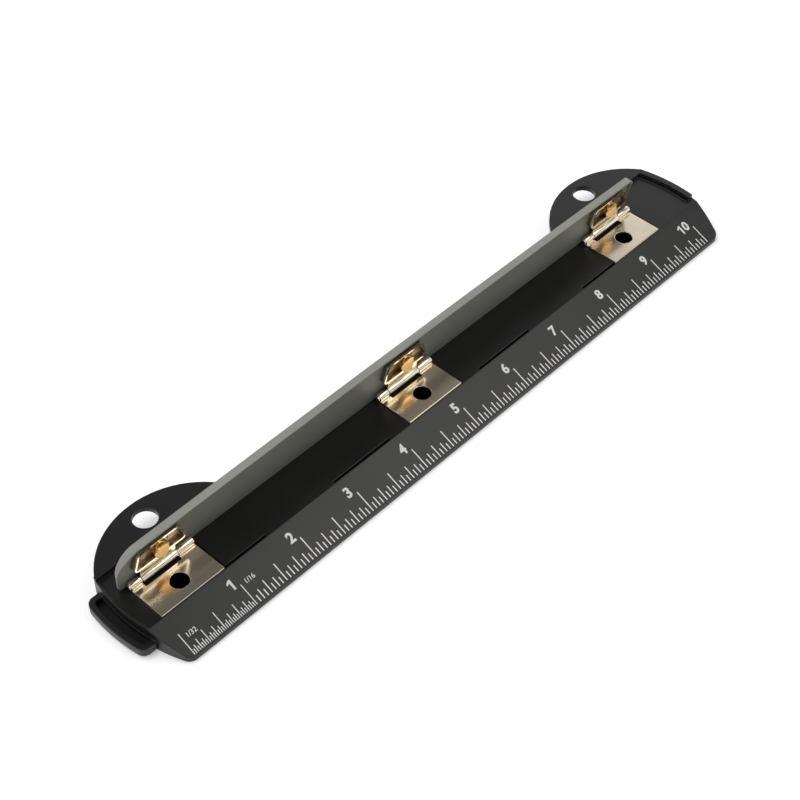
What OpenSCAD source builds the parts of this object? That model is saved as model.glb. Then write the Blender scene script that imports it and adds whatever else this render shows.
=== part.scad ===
// Portable three-hole paper punch with a ruler along its front edge, in millimetres.
// X runs along the ruler, Y from the ruler towards the hinges, and Z up from the table.
// Inside the modules X = 0 is the middle of the base and Y = 0 is the line of the dies;
// the whole part is then moved so that its origin is its bounding box's bottom centre.

/* [Hole pattern] */
// Distance from one punched hole to the next, and half of that between the ring holes
hole_pitch = 107.95; // [80:0.05:120]
// Radius of a punch pin
punch_r = 2.9; // [2.5:0.05:2.95]
// Radial gap between a punch pin and its die
die_gap = 0.25; // [0.2:0.01:0.35]
// Distance from the dies' line back to the hinge axis
hinge_reach = 8.4; // [8.2:0.05:9]

/* [Base] */
// Distance from the left die to the base's left end
left_margin = 19.45; // [18:0.05:30]
// Distance from the right die to the base's right end
right_margin = 36.65; // [32:0.05:45]
// Distance from the dies' line to the front edge
base_front = 20.4; // [18.5:0.1:22]
// Distance from the dies' line to the back face
base_back = 19.4; // [18:0.1:21]
// Radius of the curved ends
end_r = 60; // [50:1:75]
// Distance of the ends' crown behind the dies' line
end_y = 4; // [3:0.1:5]
// Radius of the front corners
corner_r = 3.5; // [2:0.1:5]
// Height of the floor under the lever
floor_z = 7.8; // [7.6:0.1:9]
// Height of the rim and of the ears above the floor
rim_h = 1.4; // [0.8:0.1:2]
// Thickness of the moulded walls and of the floor
wall = 1.8; // [1.5:0.05:1.85]
// Width of the raised rim at the right end
rim_w = 2.4; // [1.5:0.1:3]
// Height of the ruler's front edge
ruler_edge = 1.7; // [1.5:0.05:2]
// Distance from the dies' line to the top of the ruler's slope
ruler_crest = 6.5; // [6.4:0.05:7]
// Width of the slots at the foot of the ruler
slot_w = 0.8; // [0.5:0.05:1.2]

/* [Ears] */
// Radius of a binder ring hole
ring_hole_r = 4.25; // [3:0.05:5]
// Distance of a ring hole behind the dies' line
ring_hole_y = 25.65; // [25:0.05:26.5]
// Radius of an ear's outline
ear_r = 31.3; // [30:0.1:33]
// Distance of the outline's centre behind the dies' line
ear_y = 1.7; // [1:0.1:3]
// Thickness of an ear
ear_t = 2; // [1.5:0.1:3]

/* [Die plates] */
// Width of a die plate along the ruler
plate_w = 25.2; // [24.5:0.1:27]
// Distance from the dies' line to a plate's front edge
plate_front = 6.3; // [5:0.05:6.35]
// Thickness of a die plate's sheet steel
plate_t = 0.75; // [0.7:0.01:0.8]
// Width of the tabs that clinch a plate to the floor
tab_w = 3.2; // [2:0.1:4]

/* [Hinges] */
// Radius of a hinge pin
pin_r = 0.74; // [0.7:0.01:0.8]
// Length of the middle knuckle, which turns with the lever
knuckle_mid = 14; // [12:0.1:15]
// Distance of the middle knuckle to the left of the die
knuckle_shift = 1.1; // [0:0.1:1.5]
// Radius of a hinge pin's head
pin_head_r = 1.05; // [0.9:0.05:1.3]

/* [Lever] */
// Distance from the left die to the lever's left end
lever_left = 15.4; // [13:0.05:16]
// Distance from the right die to the lever's right end
lever_right = 13.4; // [13:0.05:18]
// Distance from the hinge axis up to the lever's free edge
lever_top = 15.2; // [14.9:0.1:15.4]
// Distance from the hinge axis down to the lever's heel
heel_drop = 1.25; // [1:0.05:1.27]
// Depth of the lever's pan
lever_depth = 2.85; // [2:0.05:2.9]
// Thickness of the lever's sheet
lever_t = 0.75; // [0.6:0.05:0.9]
// Bulge of the free edge at mid-length
edge_bow = 0.9; // [0.2:0.1:1.2]
// Radius of the left corner of the free edge
lever_corner_r = 8; // [6:0.1:9]
// Radius of the right corner of the free edge
lever_tip_r = 2.5; // [1.5:0.1:6]
// Radius of the corners of the heel
heel_corner_r = 2; // [1:0.1:3]
// Height above the hinge axis at which the end flanges start
end_foot = 5.2; // [3:0.1:8]
// Angle by which the open lever leans towards the ruler
open_lean = 1; // [0.5:0.5:4]

/* [Punches] */
// Width of a bracket at its free edge
bracket_top_w = 17; // [16:0.1:18]
// Width of a bracket beside the hinge
bracket_low_w = 20.2; // [18:0.1:21]
// Thickness of a bracket's sheet steel
bracket_t = 0.65; // [0.5:0.01:0.7]
// Distance that a punch pin reaches past the hinge axis
punch_reach = 2.2; // [1.8:0.05:2.35]
// Depth of the notch in a punch pin's cutting end
notch_depth = 0.8; // [0.4:0.05:1]
// Radius of a bracket rivet's shank
rivet_r = 0.8; // [0.6:0.05:0.9]

/* [Chip tray] */
// Thickness of the tray's moulded floor and walls
tray_t = 0.95; // [0.8:0.05:1.2]
// Depth of the pull's finger pocket
pull_pocket = 2.9; // [2:0.1:3.5]
// Thickness of the pull's bar
pull_bar = 2; // [1.6:0.05:2.6]
// Height of the pull's top above the table
pull_top = 3.8; // [3:0.1:4]

/* [Hidden] */
$fn = 64;

// Overrun of every cut past the face that it opens
over = 1;
// Gap between mouldings that slide on each other, and under the tray
slide_gap = 0.25;
ledge_gap = 0.1;
// Radial gaps of a pin in the knuckles and holes that grip it, and in the one that turns
grip_fit = 0.01;
turn_fit = 0.05;
// Gap between neighbouring knuckles, round a seated sheet and behind the barrel
knuckle_gap = 0.25;
seat_gap = 0.1;
barrel_gap = 0.1;
// Facets of the large arcs and of the dies, and steps of the lever's free edge
big_fn = 180;
die_fn = 96;
bow_steps = 16;
// Excess of a corner's radius, so that it crosses its neighbours and doesn't only touch them
ease = 0.005;

// Lengths and middles of the base and the lever along the row of dies
base_len = 2 * hole_pitch + left_margin + right_margin;
hole_shift = (right_margin - left_margin) / 2;
lever_len = 2 * hole_pitch + lever_left + lever_right;
lever_shift = hole_shift + (lever_left - lever_right) / 2;

// Stations from left to right, and the two ears
station_x = [for (i = [-1, 0, 1]) i * hole_pitch - hole_shift];
ear_x = [-hole_pitch, hole_pitch];

// Heights of the hinge and the plates
plate_z = floor_z + plate_t;
knuckle_r = pin_r + grip_fit + plate_t;
hinge_z = floor_z + knuckle_r;
rim_z = floor_z + rim_h;
roof_z = floor_z - wall;
die_hole_r = punch_r + die_gap;

// Ends and slope of the base
half_len = base_len / 2;
arc_x = half_len - end_r;
slope = (floor_z - ruler_edge) / (base_front - ruler_crest);
slope_drop = wall * sqrt(1 + slope * slope);

// Raised features at the two ends, as distances in from the end
rim_front = 4;
groove_w = 0.9;
groove_edge = 0.1;
groove_depth = 1;
ridge_w = 0.7;
lip_w = 0.6;
lip_h = 0.4;
riser_t = 1.4;

// Slots at the foot of the ruler, as shares of the hole pitch from the middle die
slot_near_share = 0.204;
slot_near_end_share = 0.442;
slot_far_share = 0.718;

// Tray bay, the ledges that carry the tray and the rib in front of it
bay_half = base_back - wall - end_y;
bay_front = bay_half - end_y;
bay_back = base_back - wall;
rib_t = 1.5;
ledge_w = 1.2;
ledge_t = 0.6;

// Chip tray
tray_half = bay_half - slide_gap;
tray_z = ledge_t + ledge_gap;
tray_top = roof_at(bay_front) - slide_gap;
mouth_z = tray_top + slide_gap;
tray_end_t = 1.6;
pull_corner_r = 3;
pocket_corner_r = 1.2;

// Die plates: tabs, chip holes, the middle knuckle's room behind and in front of it, and the
// pocket behind the barrel
tab_y = 1.2;
tab_foot = 1.4;
tab_relief = 0.8;
chip_gap = 0.85;
knuckle_room = 0.5;
knuckle_view = 1.3;
knuckle_dip = 0.3;
pocket_w = 3.6;
pocket_len = 1.6;
pocket_start = 0.5;
pocket_depth = 1;
pin_head_t = 0.5;

// Lever and bracket, in the lever's own frame: Z up from the hinge axis, Y back
lever_in = knuckle_r + barrel_gap;
lever_out = lever_in + lever_t;
lever_lip = lever_out - lever_depth;
web_face = lever_in - bracket_t;
bracket_gap = 0.13;
box_low = hinge_reach - punch_r - bracket_gap - bracket_t;
box_high = hinge_reach + punch_r + bracket_gap + bracket_t;
box_lip = -0.65;
box_corner_r = 1.3;
neck_y = -0.2;
end_drop = 0.3;

// Tail and head of a punch pin, and the rivets beside it
tail_r = 1.5;
pin_seat_r = 2.3;
head_t = 0.35;
rivet_head_r = 1.25;
rivet_x = (punch_r + bracket_top_w / 2 - bracket_t) / 2;

// Offset of the origin from the middle of the base and the dies' line
foot_shift = [(pull_pocket + pull_bar) / 2, (base_front - ear_y - ear_r) / 2, 0];

// Height of the underside of the ruler's slope at a distance in front of the dies
function roof_at(front) = floor_z - slope * (front - ruler_crest) - slope_drop;

module place()
    translate(foot_shift)
        children();

module box(x, y, z)
    translate([x[0], y[0], z[0]])
        cube([x[1] - x[0], y[1] - y[0], z[1] - z[0]]);

// Solid of a section drawn in Y and Z, from x0 to x1
module along_x(x0, x1, points)
    translate([x0, 0, 0])
        rotate([90, 0, 90])
            linear_extrude(height = x1 - x0)
                polygon(points);

// Cylinder along X from x0 to x1
module x_rod(x0, x1, r)
    translate([x0, 0, 0])
        rotate([0, 90, 0])
            cylinder(h = x1 - x0, r = r);

// Cylinder along Y from y0 to y1
module y_rod(y0, y1, r, sides = 64)
    translate([0, y0, 0])
        rotate([-90, 0, 0])
            cylinder(h = y1 - y0, r = r, $fn = sides);

// Flat area between the curved ends, each moved in or out from its place
module band(left = 0, right = 0) {
    translate([-arc_x, end_y])
        circle(r = end_r + left, $fn = big_fn);
    translate([arc_x, end_y])
        circle(r = end_r + right, $fn = big_fn);
    translate([-arc_x, end_y - end_r + 2 * wall])
        square([2 * arc_x, 2 * end_r - 4 * wall]);
}

module slab(z0, z1)
    translate([0, 0, z0])
        linear_extrude(height = z1 - z0)
            children();

// What the corner between an arc about the origin and the line y = edge loses to a radius
module arc_corner(big_r, edge, r) {
    cy = edge - r;
    cx = sqrt(pow(big_r - r, 2) - cy * cy);
    out = 2 * r / (big_r - r);
    difference() {
        polygon([[cx, cy], [cx, edge + over], [cx + 2 * r, edge + over],
            [cx + cx * out, cy + cy * out]]);
        translate([cx, cy])
            circle(r = r + ease);
    }
}

// Outline of the base with its ears
module base_plan()
    difference() {
        intersection() {
            band();
            union() {
                translate([-base_len, -base_front])
                    square([2 * base_len, base_front + base_back]);
                intersection() {
                    translate([-base_len, base_back - riser_t])
                        square([2 * base_len, ear_y + ear_r]);
                    union()
                        for (x = ear_x)
                            translate([x, ear_y])
                                circle(r = ear_r, $fn = big_fn);
                }
            }
        }
        for (side = [0, 1])
            mirror([side, 0])
                translate([arc_x, end_y])
                    mirror([0, 1])
                        arc_corner(end_r, base_front + end_y, corner_r);
    }

// Area of the sunk floor; in front of the rim it runs out to the right end
module floor_plan(left, right)
    intersection() {
        translate([-base_len, -ruler_crest - over])
            square([2 * base_len, ruler_crest + over + base_back - riser_t]);
        union() {
            band(left, right);
            translate([arc_x, -base_front])
                square([base_len, base_front - rim_front]);
        }
    }

// Base block with the ruler's slope, its ears, and the floor sunk between riser, rim and lip
module base_shell()
    difference() {
        intersection() {
            slab(0, rim_z) base_plan();
            along_x(-base_len, base_len, [[-base_front, 0], [-base_front, ruler_edge],
                [-ruler_crest, floor_z], [-ruler_crest, rim_z], [ear_y + ear_r + over, rim_z],
                [ear_y + ear_r + over, rim_z - ear_t], [base_back, rim_z - ear_t], [base_back, 0]]);
        }
        slab(floor_z + lip_h, rim_z + over)
            floor_plan(over, -rim_w);
        slab(floor_z, floor_z + lip_h + over / 2)
            floor_plan(-lip_w, -rim_w - groove_w - ridge_w);
        slab(floor_z - groove_depth, floor_z + lip_h + over / 2)
            intersection() {
                difference() {
                    band(right = -rim_w - groove_edge);
                    band(right = -rim_w - groove_w);
                }
                translate([arc_x, -rim_front])
                    square([base_len, rim_front + base_back - riser_t]);
            }
        for (x = ear_x)
            translate([x, ring_hole_y, rim_z - ear_t - over])
                cylinder(h = ear_t + 2 * over, r = ring_hole_r);
    }

// Hollow under the ruler, the tray bay with its ledges and its mouth in the left end
module base_hollows() {
    front = base_front - wall;
    rib = bay_front + rib_t;
    intersection() {
        slab(-over, floor_z)
            band(-wall, -wall);
        union() {
            along_x(-base_len, base_len, [[-front, -over], [-front, roof_at(front)],
                [-rib, roof_at(rib)], [-rib, -over]]);
            along_x(-base_len, base_len, bay_section(roof_z));
        }
    }
    intersection() {
        box([-half_len - over, -arc_x], [-base_front, base_back], [-over, mouth_z]);
        along_x(-base_len, base_len, bay_section(mouth_z));
    }
}

function bay_section(top) = concat(
    [[ledge_w - bay_front, -over], [ledge_w - bay_front, ledge_t], [-bay_front, ledge_t],
        [-bay_front, min(top, roof_at(bay_front))]],
    top > mouth_z ? [[-ruler_crest, top]] : [],
    [[bay_back, top], [bay_back, ledge_t], [bay_back - ledge_w, ledge_t],
        [bay_back - ledge_w, -over]]);

// Openings of one station, at its die: chip hole, tab slots, knuckle room and pocket
module station_cuts() {
    inner = plate_w / 2 - plate_t - seat_gap;
    outer = plate_w / 2 + seat_gap;
    tab = [tab_y - tab_w / 2 - seat_gap, tab_y + tab_w / 2 + seat_gap];
    cylinder(h = floor_z + over, r = die_hole_r + chip_gap);
    box([-outer, -inner], tab, [roof_z - over, floor_z + over]);
    box([inner, outer + tab_relief], tab, [roof_z - over, floor_z + over]);
    box([plate_w / 2, outer + tab_relief], [-plate_front + tab_relief, hinge_reach],
        [floor_z - pocket_depth, floor_z + over]);
    box([-knuckle_shift - knuckle_mid / 2 - knuckle_gap, knuckle_mid / 2 + knuckle_gap - knuckle_shift],
        [hinge_reach - knuckle_r - knuckle_view, hinge_reach + knuckle_r + knuckle_room],
        [floor_z - knuckle_dip, floor_z + over]);
    box([plate_w / 2 - pocket_w, plate_w / 2],
        [hinge_reach + knuckle_r + pocket_start, hinge_reach + knuckle_r + pocket_start + pocket_len],
        [floor_z - pocket_depth, floor_z + over]);
}

module floor_slots()
    for (side = [-1, 1]) {
        far_end = hole_pitch - plate_w / 2;
        spans = [[slot_near_share * hole_pitch, slot_near_end_share * hole_pitch],
            [slot_far_share * hole_pitch, far_end]];
        for (span = spans)
            box(side > 0 ? span : [-span[1], -span[0]], [seat_gap - plate_front, seat_gap - plate_front + slot_w],
                [roof_z - over, floor_z + over]);
    }

module base_body()
    color("#262626")
        difference() {
            base_shell();
            base_hollows();
            for (x = station_x)
                translate([x, 0, 0])
                    station_cuts();
            translate([-hole_shift, 0, 0])
                floor_slots();
        }

// Outline of the tray and of the pull about the arc of the left end
module tray_plan(end_in, side_in)
    intersection() {
        band(-end_in, -wall - slide_gap - side_in);
        translate([-base_len, end_y - tray_half + side_in])
            square([2 * base_len, 2 * (tray_half - side_in)]);
    }

module loop_plan(big_r, half, r)
    intersection() {
        circle(r = big_r, $fn = big_fn);
        difference() {
            translate([end_r - bay_half, -half])
                square([end_r, 2 * half]);
            for (side = [0, 1])
                mirror([0, side])
                    arc_corner(big_r, half, r);
        }
    }

// Sliding tray with low walls and a pocketed pull
module chip_tray()
    color("#303030") {
        difference() {
            slab(tray_z, tray_top)
                tray_plan(0, 0);
            slab(tray_z + tray_t, tray_top + over)
                tray_plan(tray_end_t, tray_t);
        }
        difference() {
            slab(tray_z, pull_top)
                translate([-arc_x, end_y])
                    mirror([1, 0])
                        difference() {
                            loop_plan(end_r + pull_pocket + pull_bar, tray_half, pull_corner_r);
                            circle(r = end_r - tray_end_t / 2, $fn = big_fn);
                        }
            slab(tray_z + tray_t, pull_top + over)
                translate([-arc_x, end_y])
                    mirror([1, 0])
                        loop_plan(end_r + pull_pocket, tray_half - pull_bar, pocket_corner_r);
        }
    }

// Side tab of a die plate, bent out under the floor
module plate_tab() {
    box([plate_w / 2 - plate_t, plate_w / 2], [tab_y - tab_w / 2, tab_y + tab_w / 2],
        [roof_z - plate_t, plate_z]);
    box([plate_w / 2 - plate_t, plate_w / 2 + tab_foot], [tab_y - tab_w / 2, tab_y + tab_w / 2],
        [roof_z - plate_t, roof_z]);
}

// Die plate at its die: sheet, tabs and the two outer knuckles
module die_plate(x)
    color("#c9c2b4")
        translate([x, 0, 0])
            difference() {
                union() {
                    box([-plate_w / 2, plate_w / 2], [-plate_front, hinge_reach], [floor_z, plate_z]);
                    for (side = [0, 1])
                        mirror([side, 0, 0])
                            plate_tab();
                    translate([0, hinge_reach, hinge_z])
                        x_rod(-plate_w / 2, plate_w / 2, knuckle_r);
                }
                translate([0, 0, floor_z - over])
                    cylinder(h = plate_t + 2 * over, r = die_hole_r, $fn = die_fn);
                translate([0, hinge_reach, hinge_z])
                    x_rod(-plate_w / 2 - over, plate_w / 2 + over, pin_r + grip_fit);
                box([-knuckle_shift - knuckle_mid / 2 - knuckle_gap,
                    knuckle_mid / 2 + knuckle_gap - knuckle_shift],
                    [hinge_reach - knuckle_r - knuckle_view, hinge_reach + knuckle_r + over],
                    [floor_z - over, hinge_z + knuckle_r + over]);
            }

module hinge_pin(x)
    color("#b7b1a6")
        translate([x, hinge_reach, hinge_z]) {
            x_rod(-plate_w / 2 - pin_head_t / 2, plate_w / 2, pin_r);
            x_rod(-plate_w / 2 - pin_head_t, -plate_w / 2, pin_head_r);
        }

// Moves a station's moving pieces from the lever's frame to where the open lever stands
module on_lever(x)
    translate([x, hinge_reach, hinge_z])
        rotate([open_lean, 0, 0])
            children();

// Outline of the lever in X and Z, moved in all round; the free edge bulges a little
module lever_plan(inset) {
    half = lever_len / 2;
    low_side = half - heel_corner_r;
    low_z = heel_corner_r - heel_drop;
    end_z = lever_top - edge_bow;
    translate([-low_side, inset - heel_drop])
        square([2 * low_side, low_z + heel_drop]);
    polygon(concat([[lever_corner_r - half, low_z], [half - lever_tip_r, low_z]],
        [for (i = [0 : bow_steps])
            let (u = 1 - 2 * i / bow_steps)
                [u * (half - (u > 0 ? lever_tip_r : lever_corner_r)),
                    lever_top - inset - edge_bow * u * u]]));
    for (s = [-1, 1]) {
        r = s > 0 ? lever_tip_r : lever_corner_r;
        translate([s > 0 ? 0 : inset - half, low_z])
            square([half - inset, end_z - r - low_z]);
        translate([s * (half - r), end_z - r])
            intersection() {
                circle(r = r - inset);
                translate([-r, -seat_gap])
                    square([2 * r, r + seat_gap]);
            }
        translate([s * low_side, low_z])
            circle(r = heel_corner_r - inset);
    }
}

// Solid of an outline drawn in X and Z, from y0 to y1
module back_slab(y0, y1)
    translate([0, y1, 0])
        rotate([90, 0, 0])
            linear_extrude(height = y1 - y0)
                children();

// Pressed pan with holes for the pins' tails and rivets; its end flanges start above the
// hinges and reach their depth at the free edge
module lever_bar()
    color("#8d8b86")
        on_lever(-lever_shift)
            difference() {
                back_slab(lever_lip, lever_out) lever_plan(0);
                back_slab(lever_lip - over, lever_in) {
                    lever_plan(lever_t);
                    translate([-lever_len, -heel_drop - over])
                        square([2 * lever_len, heel_drop + over + knuckle_r + knuckle_gap]);
                }
                along_x(-lever_len, lever_len, [[lever_lip - over, knuckle_r], [lever_in, knuckle_r],
                    [lever_in, end_foot], [lever_lip, lever_top - edge_bow - lever_t - end_drop],
                    [lever_lip - over, lever_top - edge_bow - lever_t - end_drop]]);
                for (x = station_x)
                    translate([x + lever_shift, 0, hinge_reach])
                        station_holes(lever_in - over, lever_out + over);
            }

module station_holes(y0, y1) {
    y_rod(y0, y1, tail_r + grip_fit);
    for (side = [-1, 1])
        translate([side * rivet_x, 0, 0])
            y_rod(y0, y1, rivet_r + grip_fit);
}

// Outline of a bracket's box: wider towards the hinge, with rounded corners
module box_plan(r) {
    top = [bracket_top_w / 2 - box_corner_r, box_high - box_corner_r];
    low = [bracket_low_w / 2 - box_corner_r, box_low + box_corner_r];
    run = norm(top - low);
    n = [(top[1] - low[1]) / run, (low[0] - top[0]) / run];
    polygon([[-low[0], low[1] - r], [low[0], low[1] - r], low + r * n, top + r * n,
        [top[0], top[1] + r], [-top[0], top[1] + r],
        [-top[0] - r * n[0], top[1] + r * n[1]], [-low[0] - r * n[0], low[1] + r * n[1]]]);
    for (s = [-1, 1]) {
        translate([s * top[0], top[1]])
            circle(r = r + ease);
        translate([s * low[0], low[1]])
            circle(r = r + ease);
    }
}

// Bracket: open box on the lever, neck and the knuckle that turns on the hinge pin
module punch_bracket(x)
    color("#c9c2b4")
        on_lever(x)
            difference() {
                union() {
                    difference() {
                        back_slab(box_lip, lever_in) box_plan(box_corner_r);
                        back_slab(box_lip - over, web_face) box_plan(box_corner_r - bracket_t);
                    }
                    box([-knuckle_shift - knuckle_mid / 2, knuckle_mid / 2 - knuckle_shift],
                        [neck_y, neck_y + bracket_t], [0, box_low + bracket_t]);
                    x_rod(-knuckle_shift - knuckle_mid / 2, knuckle_mid / 2 - knuckle_shift,
                        knuckle_r);
                }
                x_rod(-plate_w, plate_w, pin_r + turn_fit);
                translate([0, 0, hinge_reach])
                    station_holes(web_face - over, lever_in + over);
            }

// Punch pin with its notched cutting end in front and its staked tail behind the lever
module punch_pin(x)
    color("#c08a3c")
        on_lever(x)
            translate([0, 0, hinge_reach])
                difference() {
                    union() {
                        y_rod(-punch_reach, web_face, punch_r, die_fn);
                        y_rod(web_face - over, lever_out + head_t, tail_r);
                        y_rod(lever_out, lever_out + head_t, pin_seat_r);
                    }
                    along_x(-2 * punch_r, 2 * punch_r,
                        [[-punch_reach - over, punch_r * (1 + over / notch_depth)],
                            [notch_depth - punch_reach, 0],
                            [-punch_reach - over, -punch_r * (1 + over / notch_depth)]]);
                }

module bracket_rivets(x)
    color("#b7b1a6")
        on_lever(x)
            for (side = [-1, 1])
                translate([side * rivet_x, 0, hinge_reach]) {
                    y_rod(web_face - head_t, lever_out + head_t, rivet_r);
                    y_rod(web_face - head_t, web_face, rivet_head_r);
                    y_rod(lever_out, lever_out + head_t, rivet_head_r);
                }

place() base_body();
place() chip_tray();
place() lever_bar();
place() die_plate(station_x[0]);  // die_plate_left
place() die_plate(station_x[1]);  // die_plate_middle
place() die_plate(station_x[2]);  // die_plate_right
place() hinge_pin(station_x[0]);  // hinge_pin_left
place() hinge_pin(station_x[1]);  // hinge_pin_middle
place() hinge_pin(station_x[2]);  // hinge_pin_right
place() punch_bracket(station_x[0]);  // punch_bracket_left
place() punch_bracket(station_x[1]);  // punch_bracket_middle
place() punch_bracket(station_x[2]);  // punch_bracket_right
place() punch_pin(station_x[0]);  // punch_pin_left
place() punch_pin(station_x[1]);  // punch_pin_middle
place() punch_pin(station_x[2]);  // punch_pin_right
place() bracket_rivets(station_x[0]);  // bracket_rivets_left
place() bracket_rivets(station_x[1]);  // bracket_rivets_middle
place() bracket_rivets(station_x[2]);  // bracket_rivets_right
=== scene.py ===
import math

import bmesh
import bpy
from mathutils import Matrix, Vector


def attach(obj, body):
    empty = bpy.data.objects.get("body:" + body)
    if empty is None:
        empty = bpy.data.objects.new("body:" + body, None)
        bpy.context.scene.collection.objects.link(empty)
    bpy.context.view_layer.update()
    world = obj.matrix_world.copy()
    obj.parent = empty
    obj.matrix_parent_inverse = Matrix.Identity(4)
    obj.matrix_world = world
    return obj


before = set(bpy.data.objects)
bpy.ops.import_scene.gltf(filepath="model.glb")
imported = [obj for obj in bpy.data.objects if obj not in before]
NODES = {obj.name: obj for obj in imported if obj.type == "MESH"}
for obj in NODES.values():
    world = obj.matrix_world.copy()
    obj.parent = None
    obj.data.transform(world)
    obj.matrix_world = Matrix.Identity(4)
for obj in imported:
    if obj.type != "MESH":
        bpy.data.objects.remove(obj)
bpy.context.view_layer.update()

MM = 0.001
INCH = 25.4

# Places in the row frame, in millimetres
BASE_X = 2.45  # middle of the base's length
DIE_Y = -6.3  # line of the three dies
HINGE_Y = 2.1  # axis of the three hinge pins
HINGE_Z = 9.3
CREST_Y = DIE_Y - 6.5  # top of the ruler's slope
CREST_Z = 7.8
EDGE_Y = DIE_Y - 20.4  # front edge of the ruler's slope
EDGE_Z = 1.7

# Camera fitted to the photograph: place and lens in millimetres, angles in degrees
CAMERA_PLACE = (-305.15, -275.0, 430.26)
CAMERA_AZIMUTH = -46.999
CAMERA_ELEVATION = 46.615
CAMERA_ROLL = 0.416
CAMERA_LENS = 78.66
CAMERA_SENSOR = 36
CAMERA_NEAR = 0.01  # metres
CAMERA_FAR = 20


# ---------------------------------------------------------------- camera
def make_camera():
    data = bpy.data.cameras.new("camera")
    cam = bpy.data.objects.new("camera", data)
    bpy.context.scene.collection.objects.link(cam)
    azimuth, elevation, roll = (
        math.radians(a) for a in (CAMERA_AZIMUTH, CAMERA_ELEVATION, CAMERA_ROLL))
    back = Vector((math.sin(azimuth) * math.cos(elevation),
                   -math.cos(azimuth) * math.cos(elevation),
                   math.sin(elevation)))
    right = (-back).cross(Vector((0, 0, 1))).normalized()
    up = right.cross(-back)
    x = math.cos(roll) * right + math.sin(roll) * up
    y = -math.sin(roll) * right + math.cos(roll) * up
    placed = Matrix((x, y, back)).transposed().to_4x4()
    placed.translation = Vector(CAMERA_PLACE) * MM
    cam.matrix_world = placed
    data.sensor_fit = "HORIZONTAL"
    data.sensor_width = CAMERA_SENSOR
    data.lens = CAMERA_LENS
    data.clip_start = CAMERA_NEAR
    data.clip_end = CAMERA_FAR
    bpy.context.scene.camera = cam


# ---------------------------------------------------------------- node trees
class Tree:
    """Builds the node tree of a material or of the world. Its calls give the new node's output."""

    def __init__(self, owner):
        owner.use_nodes = True
        self.owner = owner
        self.tree = owner.node_tree
        self.tree.nodes.clear()

    def node(self, kind, inputs=None, **props):
        """A new node. inputs gives a socket a value, or the output that feeds it."""
        n = self.tree.nodes.new(kind)
        for key, value in props.items():
            setattr(n, key, value)
        for key, value in (inputs or {}).items():
            if isinstance(value, bpy.types.NodeSocket):
                self.tree.links.new(value, n.inputs[key])
            else:
                n.inputs[key].default_value = value
        return n

    def place(self, scale=(1, 1, 1)):
        """The object's own coordinates in metres, times scale."""
        coord = self.node("ShaderNodeTexCoord").outputs["Object"]
        mapping = self.node("ShaderNodeMapping", {"Vector": coord, "Scale": scale})
        return mapping.outputs["Vector"]

    def axis(self, vector, name):
        return self.node("ShaderNodeSeparateXYZ", {"Vector": vector}).outputs[name]

    def noise(self, vector, scale, detail, rough=0.5):
        inputs = {"Vector": vector, "Scale": scale, "Detail": detail, "Roughness": rough}
        return self.node("ShaderNodeTexNoise", inputs).outputs["Fac"]

    def ramp(self, factor, stops):
        """Colour by factor, from stops of a position and a colour."""
        n = self.node("ShaderNodeValToRGB", {"Fac": factor})
        elements = n.color_ramp.elements
        while len(elements) < len(stops):
            elements.new(0.5)
        for element, (position, colour) in zip(elements, stops):
            element.position = position
            element.color = (*colour, 1)
        return n.outputs["Color"]

    def remap(self, value, to, over=(0, 1), **props):
        """The range over becomes the range to, and value stays inside it."""
        inputs = {"Value": value, "From Min": over[0], "From Max": over[1],
                  "To Min": to[0], "To Max": to[1]}
        return self.node("ShaderNodeMapRange", inputs, **props).outputs["Result"]

    def bump(self, height, strength, distance, **inputs):
        inputs |= {"Height": height, "Strength": strength, "Distance": distance}
        return self.node("ShaderNodeBump", inputs).outputs["Normal"]

    def maths(self, operation, first, second):
        n = self.node("ShaderNodeMath", {0: first, 1: second}, operation=operation)
        return n.outputs["Value"]

    def mix_colour(self, factor, low, high):
        """low where factor is 0, high where it is 1. The sockets share their names."""
        n = self.node("ShaderNodeMix", {0: factor, 6: low, 7: high}, data_type="RGBA")
        return n.outputs[2]

    def mix_number(self, factor, low, high):
        n = self.node("ShaderNodeMix", {0: factor, 2: low, 3: high}, data_type="FLOAT")
        return n.outputs[0]

    def principled(self, inputs):
        return self.node("ShaderNodeBsdfPrincipled", inputs).outputs["BSDF"]

    def surface(self, shader, kind="ShaderNodeOutputMaterial"):
        """Ends the tree with shader, and gives what owns it."""
        self.node(kind, {"Surface": shader})
        return self.owner


def shades(colour, *stops):
    """Stops of one colour, from pairs of a position and a factor."""
    return [(position, tuple(c * factor for c in colour)) for position, factor in stops]


# ---------------------------------------------------------------- materials
BUMP_DEPTH = 0.00003  # metres
NICKEL_BUMP_DEPTH = 0.00002
ALONG_X = (4, 900, 900)  # noise scales that draw rolling lines along an axis
ALONG_Y = (900, 4, 900)


def moulded_black(name, colour, roughness):
    """Black moulded plastic: fine spark-eroded grain, slow changes of tone and gloss, and
    edges that catch the light as if rounded."""
    t = Tree(bpy.data.materials.new(name))
    place = t.place()
    slow = t.noise(place, scale=38, detail=3)
    grain = t.noise(place, scale=2400, detail=3, rough=0.6)
    round_edge = t.node("ShaderNodeBevel", {"Radius": 0.0005}, samples=6).outputs["Normal"]
    return t.surface(t.principled({
        "Base Color": t.ramp(slow, shades(colour, (0.3, 0.8), (0.7, 1.25))),
        "Roughness": t.remap(slow, (roughness - 0.04, roughness + 0.05)),
        "Normal": t.bump(grain, 0.16, BUMP_DEPTH, Normal=round_edge),
    }))


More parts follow.
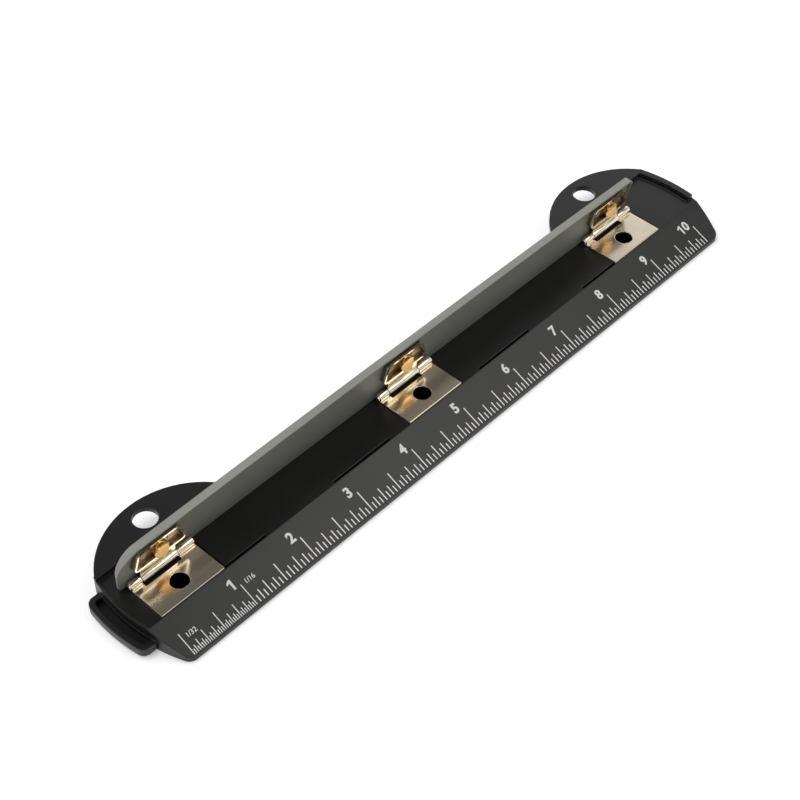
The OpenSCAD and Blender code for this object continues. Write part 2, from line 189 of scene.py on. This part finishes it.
def grey_paint():
    """Warm grey stoved paint: fine orange peel, slow shifts of tone and a few rubbed spots."""
    t = Tree(bpy.data.materials.new("lever_grey_paint"))
    place = t.place()
    slow = t.noise(place, scale=30, detail=3)
    specks = t.noise(t.place((0.35, 1, 1)), scale=420, detail=5, rough=0.7)
    peel = t.noise(place, scale=1100, detail=2)
    tone = t.ramp(slow, ((0.3, (0.285, 0.288, 0.253)), (0.7, (0.32, 0.323, 0.287))))
    rubbed = t.ramp(specks, ((0.66, (0, 0, 0)), (0.76, (1, 1, 1))))
    return t.surface(t.principled({
        "Base Color": t.mix_colour(rubbed, tone, (0.37, 0.37, 0.335, 1)),
        "Roughness": t.remap(slow, (0.4, 0.5)),
        "Normal": t.bump(peel, 0.12, BUMP_DEPTH),
    }))


def nickel(name, tint, rough, brush=ALONG_X, inside_shade=None, tail=None, metal=1.0):
    """Bright nickel plate: faint rolling lines and a warm bloom. The colour given for the inside
    of a
    folded box is painted shade: a dark colour in place of the shade and dark reflections in there;
    only the rim and the knuckle keep the plate's colour, and the inside is also rougher.
    tail is the colour of the heads set flat behind the lever."""
    t = Tree(bpy.data.materials.new(name))
    place = t.place()
    bloom = t.noise(place, scale=90, detail=3)
    lines = t.noise(t.place(brush), scale=1, detail=1)
    colour = t.ramp(bloom, shades(tint, (0.35, 0.93), (0.65, 1)))
    roughness = t.remap(lines, (rough - 0.01, rough + 0.02))
    # Painted shade: the box's inside is coloured dark where shade and dark reflections fall, and
    # the rim and the knuckle keep the plate colour. The inside is also made rougher.
    if inside_shade:
        rim_y = ((HINGE_Y - 0.3) * MM, (HINGE_Y + 0.05) * MM)
        knuckle_z = ((HINGE_Z + 1.6) * MM, (HINGE_Z + 2.6) * MM)
        bright = t.maths("MAXIMUM",
                         t.remap(t.axis(place, "Y"), (1, 0), rim_y),
                         t.remap(t.axis(place, "Z"), (1, 0), knuckle_z))
        inside = t.ramp(lines, shades(inside_shade, (0.3, 1), (0.7, 1.5)))
        colour = t.mix_colour(bright, inside, colour)
        roughness = t.mix_number(bright, 0.32, roughness)
    if tail:
        behind_y = ((HINGE_Y + 1.9) * MM, (HINGE_Y + 2.1) * MM)
        behind = t.remap(t.axis(place, "Y"), (0, 1), behind_y)
        colour = t.mix_colour(behind, colour, t.ramp(bloom, shades(tail, (0.35, 1), (0.65, 0.85))))
    return t.surface(t.principled({
        "Base Color": colour,
        "Roughness": roughness,
        "Metallic": metal,
        "Normal": t.bump(lines, 0.006, NICKEL_BUMP_DEPTH),
    }))


def white_ink():
    t = Tree(bpy.data.materials.new("white_ink"))
    speckle = t.noise(t.place(), scale=900, detail=3)
    return t.surface(t.principled({
        "Base Color": t.ramp(speckle, ((0.3, (0.87, 0.87, 0.85)), (0.7, (0.95, 0.95, 0.93)))),
        "Roughness": 0.5,
    }))


# ---------------------------------------------------------------- CAD nodes
WELD_DISTANCE = 1e-6  # metres
EDGE_SEGMENTS = 3
EDGE_ANGLE = 40  # degrees between two faces, from which their edge is rounded


def soften(obj, width):
    """Rounds the sheared and pressed edges; width is in millimetres."""
    obj.modifiers.new("weld", "WELD").merge_threshold = WELD_DISTANCE
    bevel = obj.modifiers.new("rounded_edges", "BEVEL")
    bevel.width = width * MM
    bevel.segments = EDGE_SEGMENTS
    bevel.limit_method = "ANGLE"
    bevel.angle_limit = math.radians(EDGE_ANGLE)


def finish_nodes():
    plate = nickel("plate_nickel", (0.93, 0.83, 0.66), 0.17, metal=0.94)
    # The bracket's dark inside colour is painted shade.
    bracket = nickel("bracket_nickel", (0.92, 0.83, 0.67), 0.16, inside_shade=(0.21, 0.165, 0.12))
    pin = nickel("pin_steel", (0.85, 0.8, 0.72), 0.18)
    # Painted shade: the rivet heads in front are a dark brown so that they sit unseen in the
    # bracket's dark-painted inside. Their tails behind the lever have a steel colour.
    rivet = nickel("rivet_steel", (0.3, 0.25, 0.2), 0.34, tail=(0.5, 0.48, 0.44))
    punch = nickel("punch_amber_steel", (0.8, 0.51, 0.2), 0.24, ALONG_Y, tail=(0.52, 0.48, 0.42))
    # Material and rounding of the edges, by how a node's name starts. The base has no
    # modifier: its edges are rounded in the material.
    finishes = {
        "base_body": (moulded_black("base_black", (0.0068, 0.0068, 0.0067), 0.34), None),
        "chip_tray": (moulded_black("tray_black", (0.009, 0.009, 0.0087), 0.38), 0.5),
        "lever_bar": (grey_paint(), 0.3),
        "die_plate": (plate, 0.2),
        "punch_bracket": (bracket, 0.14),
        "hinge_pin": (pin, 0.15),
        "bracket_rivets": (rivet, 0.12),
        "punch_pin": (punch, 0.1),
    }
    for name, obj in NODES.items():
        material, rounding = next(f for start, f in finishes.items() if name.startswith(start))
        if not obj.material_slots:
            obj.data.materials.append(material)
        for slot in obj.material_slots:
            slot.material = material
        if rounding:
            soften(obj, rounding)


# ---------------------------------------------------------------- ruler print
# Sizes in millimetres; "along" is the distance up the slope from its front edge
INK = white_ink()
INK_T = 0.02
ZERO_X = BASE_X - 128.8
RULER_INCHES = 10
TICKS_PER_INCH = 32  # in the first inch; the others have every second tick
TICK_ALONG = 0.7
TICK_HALF = 0.21
FINE_TICK_HALF = 0.16
TICK_LENGTHS = ((32, 7.9), (16, 6.6), (8, 4.75), (4, 3.55), (2, 2.4), (1, 1.6))
NUMERAL_SIZE = 4.9
NUMERAL_BOLD = 0.18
NUMERAL_BACK = 2.6  # from an inch's tick back to the middle of its numeral
NUMERAL_ALONG = 10.2
DIGIT_PITCH = 3.0
FRACTION_SIZE = 2.3
FRACTION_BOLD = 0.03
FRACTION_AHEAD = 3.6  # from an inch's tick on to the middle of the fraction after it
THIRTY_SECOND_ALONG = 6.6
SIXTEENTH_ALONG = 8.4
FONT_STEPS = 6
# A bold figure one with a sloping flag, about its middle
FIGURE_ONE = ((0.05, -1.82), (0.85, -1.82), (0.85, 1.82), (0.2, 1.82),
              (-0.95, 1.12), (-0.95, 0.35), (0.05, 0.88))

SLOPE_UP = Vector((0, CREST_Y - EDGE_Y, CREST_Z - EDGE_Z)).normalized()
SLOPE_OUT = Vector((0, -SLOPE_UP.z, SLOPE_UP.y))


def slope_point(x, along, lift=0.0):
    """Point in metres at millimetres along the ruler's slope and above it."""
    return (Vector((x, EDGE_Y, EDGE_Z)) + SLOPE_UP * along + SLOPE_OUT * lift) * MM


def slope_frame(x, along):
    """Places flat artwork drawn in X and Y on the ruler's slope, its top towards the crest."""
    placed = Matrix((Vector((1, 0, 0)), SLOPE_UP, SLOPE_OUT)).transposed().to_4x4()
    placed.translation = slope_point(x, along)
    return placed


def add_print(name, mesh):
    mesh.materials.clear()
    mesh.materials.append(INK)
    obj = bpy.data.objects.new(name, mesh)
    bpy.context.scene.collection.objects.link(obj)
    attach(obj, "base")


def add_prisms(name, prisms):
    """Prints prisms, each given by the corners of its lower and of its upper face in metres."""
    bm = bmesh.new()
    for lower, upper in prisms:
        low = [bm.verts.new(p) for p in lower]
        high = [bm.verts.new(p) for p in upper]
        bm.faces.new(low[::-1])
        bm.faces.new(high)
        for i in range(len(low)):
            j = (i + 1) % len(low)
            bm.faces.new((low[i], low[j], high[j], high[i]))
    bmesh.ops.recalc_face_normals(bm, faces=bm.faces)
    mesh = bpy.data.meshes.new(name)
    bm.to_mesh(mesh)
    bm.free()
    add_print(name, mesh)


def print_ticks():
    prisms = []
    for i in range(RULER_INCHES * TICKS_PER_INCH + 1):
        fine = i <= TICKS_PER_INCH
        if not fine and i % 2:
            continue
        length = next(v for step, v in TICK_LENGTHS if i % step == 0)
        half = FINE_TICK_HALF if fine else TICK_HALF
        x = ZERO_X + i * INCH / TICKS_PER_INCH
        outline = ((x - half, TICK_ALONG), (x + half, TICK_ALONG),
                   (x + half, TICK_ALONG + length), (x - half, TICK_ALONG + length))
        prisms.append([[slope_point(*p, lift) for p in outline] for lift in (-INK_T, INK_T)])
    add_prisms("ruler_ticks", prisms)


def print_one(name, x, along):
    placed = slope_frame(x, along)
    faces = [[placed @ (Vector((*p, lift)) * MM) for p in FIGURE_ONE] for lift in (-INK_T, INK_T)]
    add_prisms(name, [faces])


def print_text(name, text, size, x, along, bold, turn=0):
    """Plain numerals printed on the slope, upright for someone in front of the ruler."""
    curve = bpy.data.curves.new(name, "FONT")
    curve.body = text
    curve.size = size * MM
    curve.align_x = "CENTER"
    curve.align_y = "CENTER"
    curve.extrude = INK_T * MM
    curve.offset = bold * MM
    curve.resolution_u = FONT_STEPS
    flat = bpy.data.objects.new(name + "_flat", curve)
    bpy.context.scene.collection.objects.link(flat)
    bpy.context.view_layer.update()
    depsgraph = bpy.context.evaluated_depsgraph_get()
    mesh = bpy.data.meshes.new_from_object(flat.evaluated_get(depsgraph))
    bpy.data.objects.remove(flat)
    bpy.data.curves.remove(curve)
    mesh.transform(slope_frame(x, along) @ Matrix.Rotation(turn, 4, "Z"))
    mesh.name = name
    add_print(name, mesh)


def print_numeral(name, digit, x, turn=0):
    print_text(name, digit, NUMERAL_SIZE, x, NUMERAL_ALONG, NUMERAL_BOLD, turn)


def print_ruler():
    numeral_x = [ZERO_X + inch * INCH - NUMERAL_BACK for inch in range(RULER_INCHES + 1)]
    print_ticks()
    print_one("numeral_1", numeral_x[1], NUMERAL_ALONG)
    for inch in range(2, 9):
        print_numeral(f"numeral_{inch}", str(inch), numeral_x[inch])
    # A nine is a six turned round
    print_numeral("numeral_9", "6", numeral_x[9], math.pi)
    print_one("numeral_10_one", numeral_x[10] - DIGIT_PITCH, NUMERAL_ALONG)
    print_numeral("numeral_10_nought", "0", numeral_x[10])
    print_text("fraction_thirty_second", "1/32", FRACTION_SIZE,
               ZERO_X + FRACTION_AHEAD, THIRTY_SECOND_ALONG, FRACTION_BOLD)
    print_text("fraction_sixteenth", "1/16", FRACTION_SIZE,
               ZERO_X + INCH + FRACTION_AHEAD, SIXTEENTH_ALONG, FRACTION_BOLD)


# ---------------------------------------------------------------- light, floor and world
# Brightness of the room that is seen: the weights of a slanting height, and stops over it
RIGHT_WALL = ((-0.55, -0.3, 1),
              ((0.15, 1), (0.18, 0.85), (0.21, 0.4), (0.25, 0.16), (0.3, 0.11), (0.4, 0.09)))
LEFT_WALL = ((0.3, -0.3, 1), ((0.46, 1), (0.52, 0.7), (0.6, 0.22), (0.68, 0.09)))
WINDOW_SIDE = ((0, -1, 0), ((0.3, 0), (0.42, 0.75)))
WINDOW_SILL = ((0, 0, 1), ((0.35, 0), (0.45, 1)))
WHITE_BELOW = (0.08, 0.2)  # heights over which the white horizon gives way to the room
# Light of the sky by height, and from the front to the back
SKY = ((0, 0.85), (0.58, 0.85), (0.66, 0.6), (0.72, 0.32), (0.8, 0.2), (1, 0.16))
SKY_DEPTH = (-0.4, 0.3)
SKY_STRENGTH = (0.15, 1)
FLOOR_HALF = 6  # metres
# The floor's glow in what is seen, over the distance from the middle in metres
GLOW_DISTANCE = (0.4, 1.0)
GLOW_STRENGTH = (0.38, 1.0)


def backdrop_rays(t):
    """1 for the rays that show the white background: camera, glossy and transmission rays."""
    path = t.node("ShaderNodeLightPath").outputs
    first = t.maths("MAXIMUM", path["Is Camera Ray"], path["Is Glossy Ray"])
    return t.maths("MAXIMUM", first, path["Is Transmission Ray"])


def make_world():
    """A white room, darker overhead and behind the camera, is seen and shows in the metal. The
    light on the object comes from a pale ring round the horizon, dimmer in front of the ruler."""
    world = bpy.data.worlds.new("studio")
    bpy.context.scene.world = world
    t = Tree(world)
    direction = t.node("ShaderNodeTexCoord").outputs["Generated"]

    def brightness(weights, stops):
        height = t.node("ShaderNodeVectorMath", {0: direction, 1: weights},
                        operation="DOT_PRODUCT").outputs["Value"]
        return t.ramp(height, shades((1, 1, 1), *stops))

    walls = t.maths("MAXIMUM", brightness(*RIGHT_WALL), brightness(*LEFT_WALL))
    window = t.maths("MULTIPLY", brightness(*WINDOW_SIDE), brightness(*WINDOW_SILL))
    room = t.maths("MAXIMUM", walls, window)
    above = t.remap(t.axis(direction, "Z"), (0, 1), WHITE_BELOW)
    seen = t.node("ShaderNodeBackground", {"Color": t.mix_colour(above, (1, 1, 1, 1), room)})
    lit = t.node("ShaderNodeBackground", {
        "Color": t.ramp(t.axis(direction, "Z"), shades((1, 1, 1), *SKY)),
        "Strength": t.remap(t.axis(direction, "Y"), SKY_STRENGTH, SKY_DEPTH,
                            interpolation_type="SMOOTHSTEP"),
    })
    rays = t.node("ShaderNodeMixShader", {
        "Fac": backdrop_rays(t), 1: lit.outputs["Background"], 2: seen.outputs["Background"]})
    t.surface(rays.outputs["Shader"], "ShaderNodeOutputWorld")


def floor_white():
    """Matt white that glows only in what is seen, so that it keeps the object's shadow and
    goes over into the white background."""
    t = Tree(bpy.data.materials.new("floor_white"))
    white = t.principled({"Base Color": (0.9, 0.9, 0.9, 1), "Roughness": 0.9})
    distance = t.node("ShaderNodeVectorMath", {0: t.place()}, operation="LENGTH").outputs["Value"]
    glow = t.node("ShaderNodeEmission",
                  {"Strength": t.remap(distance, GLOW_STRENGTH, GLOW_DISTANCE)})
    seen = t.node("ShaderNodeAddShader", {0: white, 1: glow.outputs["Emission"]})
    rays = t.node("ShaderNodeMixShader",
                  {"Fac": backdrop_rays(t), 1: white, 2: seen.outputs["Shader"]})
    return t.surface(rays.outputs["Shader"])


def make_floor():
    bm = bmesh.new()
    bmesh.ops.create_grid(bm, x_segments=1, y_segments=1, size=FLOOR_HALF)
    mesh = bpy.data.meshes.new("floor")
    bm.to_mesh(mesh)
    bm.free()
    mesh.materials.append(floor_white())
    floor = bpy.data.objects.new("floor", mesh)
    bpy.context.scene.collection.objects.link(floor)


def area_light(name, place, size, power, colour=(1, 1, 1)):
    """A rectangular lamp that looks at the middle of the object; place and size in metres."""
    data = bpy.data.lights.new(name, "AREA")
    data.shape = "RECTANGLE"
    data.size, data.size_y = size
    data.energy = power
    data.color = colour
    lamp = bpy.data.objects.new(name, data)
    bpy.context.scene.collection.objects.link(lamp)
    lamp.location = place
    lamp.rotation_mode = "QUATERNION"
    lamp.rotation_quaternion = (-Vector(place)).to_track_quat("-Z", "Y")
    return lamp


make_camera()
finish_nodes()
print_ruler()
make_world()
make_floor()
area_light("overhead_front", (0.42, -0.32, 0.85), (0.66, 0.46), 1.9, (1, 0.98, 0.95))
overhead_back = area_light("overhead_back", (-0.22, 0.35, 1.0), (0.8, 0.6), 5.4)
overhead_back.visible_glossy = False

bpy.context.scene.view_settings.view_transform = "Standard"
